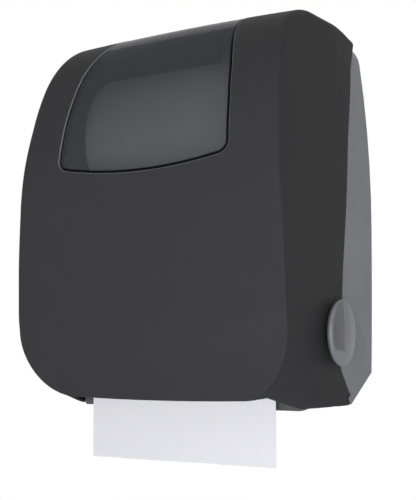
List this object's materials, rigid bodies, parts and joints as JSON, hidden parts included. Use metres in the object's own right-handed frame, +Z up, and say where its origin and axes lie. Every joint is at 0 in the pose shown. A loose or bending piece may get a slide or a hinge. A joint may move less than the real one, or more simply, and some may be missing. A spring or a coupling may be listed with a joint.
{
  "type": "roll towel dispenser",
  "caption": "Wall-mounted roll towel dispenser: hinged dark cover with a smoked window, feed drum with a sliding knife, pinch roller and side hand knob.",
  "frame": {"origin": "middle of the four wall screw holes, on the wall plane", "axes": "+Z up, -Y out of the wall towards the user, +X to the user's right"},
  "size_m": [0.2931, 0.2216, 0.435],
  "materials": {
    "cover_black": "satin moulded",
    "window_smoke": "smoked clear",
    "shell_grey": "satin moulded",
    "frame_grey": "satin moulded",
    "hub_blue": "satin moulded",
    "drum_plastic": "satin moulded",
    "acetal": "natural",
    "rubber": "matt",
    "steel": "plain",
    "card": "card",
    "paper": "embossed paper"
  },
  "bodies": {
    "housing": {"back_housing": "shell_grey", "latch_hook": "frame_grey", "left_roll_arm": "frame_grey", "left_core_hub": "hub_blue", "arm_pivot_pin": "steel", "arm_spring": "steel", "left_cheek": "frame_grey", "right_cheek": "frame_grey", "drum_bushes": "acetal", "left_cam": "frame_grey", "right_cam": "frame_grey", "pinch_pivot_rod": "steel", "pinch_springs": "steel", "outlet_tray": "frame_grey", "tray_screws": "steel", "chassis_screws": "steel", "towel_web": "paper"},
    "cover": {"front_cover": "cover_black", "window": "window_smoke", "hinge_pins": "steel"},
    "lock": {"lock_barrel": "steel", "lock_cam": "steel"},
    "drum": {"drum": "drum_plastic", "drum_bands": "rubber", "drum_shaft": "steel", "hand_knob": "shell_grey", "knob_pin": "steel"},
    "knife": {"knife_carrier": "drum_plastic", "knife_blade": "steel", "cam_followers": "acetal"},
    "pinch_carrier": {"pinch_frame": "frame_grey", "pinch_shaft": "steel"},
    "pinch_roller": {"pinch_roller": "rubber"},
    "roll": {"towel_roll": "paper", "towel_core": "card"},
    "right_arm": {"right_roll_arm": "frame_grey", "right_core_hub": "hub_blue"}
  },
  "joints": [
    {"name": "cover_hinge", "type": "hinge", "parent": "housing", "child": "cover", "pos_m": [0, -0.066, -0.2436], "axis": [1, 0, 0], "range_deg": [0, 100], "deforming": ["towel_web"]},
    {"name": "lock_turn", "type": "hinge", "parent": "cover", "child": "lock", "pos_m": [0, -0.046, 0.102], "axis": [0, 0, -1], "range_deg": [0, 90]},
    {"name": "drum_spin", "type": "hinge", "parent": "housing", "child": "drum", "pos_m": [0, -0.107, -0.182], "axis": [1, 0, 0], "continuous": true},
    {"name": "knife_slide", "type": "slide", "parent": "drum", "child": "knife", "axis": [0, -0.0872, -0.9962], "range_m": [-0.012, 0], "deforming": ["towel_web"]},
    {"name": "pinch_lift", "type": "hinge", "parent": "housing", "child": "pinch_carrier", "pos_m": [0, -0.038, -0.166], "axis": [-1, 0, 0], "range_deg": [0, 6], "stiffness_Nm_per_rad": 1.5, "springref_deg": -14.32, "deforming": ["pinch_springs", "towel_web"]},
    {"name": "pinch_spin", "type": "hinge", "parent": "pinch_carrier", "child": "pinch_roller", "pos_m": [0, -0.07094, -0.14594], "axis": [1, 0, 0], "continuous": true},
    {"name": "roll_spin", "type": "hinge", "parent": "housing", "child": "roll", "pos_m": [0, -0.091, 0.014], "axis": [1, 0, 0], "continuous": true},
    {"name": "arm_swing", "type": "hinge", "parent": "housing", "child": "right_arm", "pos_m": [0.108, -0.015, 0.014], "axis": [0, 0, 1], "range_deg": [0, 10], "stiffness_Nm_per_rad": 1, "springref_deg": -17.19, "deforming": ["arm_spring"]}
  ],
  "couplings": [
    {"joint": "pinch_spin", "follows": "drum_spin", "ratio": -3.4348},
    {"joint": "roll_spin", "follows": "drum_spin", "ratio": -0.52807}
  ]
}
